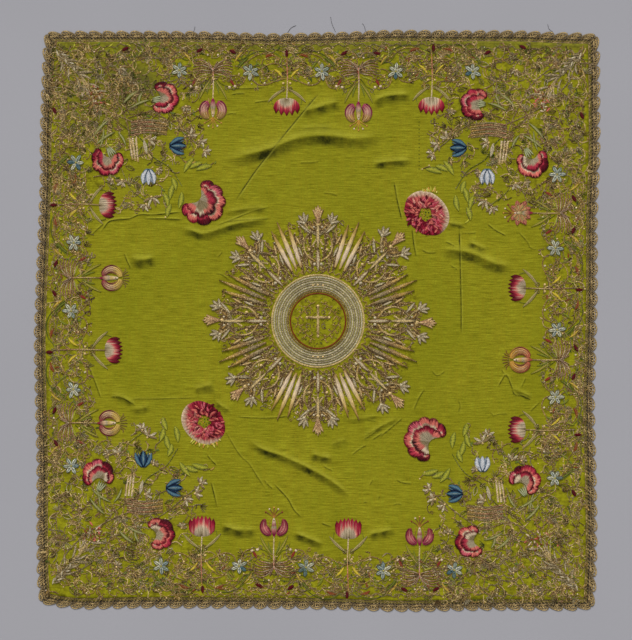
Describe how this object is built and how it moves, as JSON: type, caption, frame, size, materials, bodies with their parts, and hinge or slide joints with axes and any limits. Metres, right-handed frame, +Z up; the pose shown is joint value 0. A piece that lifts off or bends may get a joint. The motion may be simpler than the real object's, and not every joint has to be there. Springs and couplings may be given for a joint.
{
  "type": "chalice veil",
  "caption": "Nearly square embroidered silk veil with a scalloped metal-thread lace edging, lying flat with its creases.",
  "frame": {"origin": "middle of the veil's footprint, on the surface that it lies on", "axes": "+Z up, out of the embroidered face; +Y towards the edge that is uppermost in the picture, along the longer side; +X to the right of it"},
  "size_m": [0.5942, 0.6116, 0.0036],
  "materials": {
    "silk": "green silk taffeta with silk and metal-thread embroidery",
    "lace": "tarnished silver-gilt thread bobbin lace"
  },
  "bodies": {
    "root": {"silk": "silk", "lace_top": "lace", "lace_right": "lace", "lace_bottom": "lace", "lace_left": "lace"}
  },
  "joints": []
}
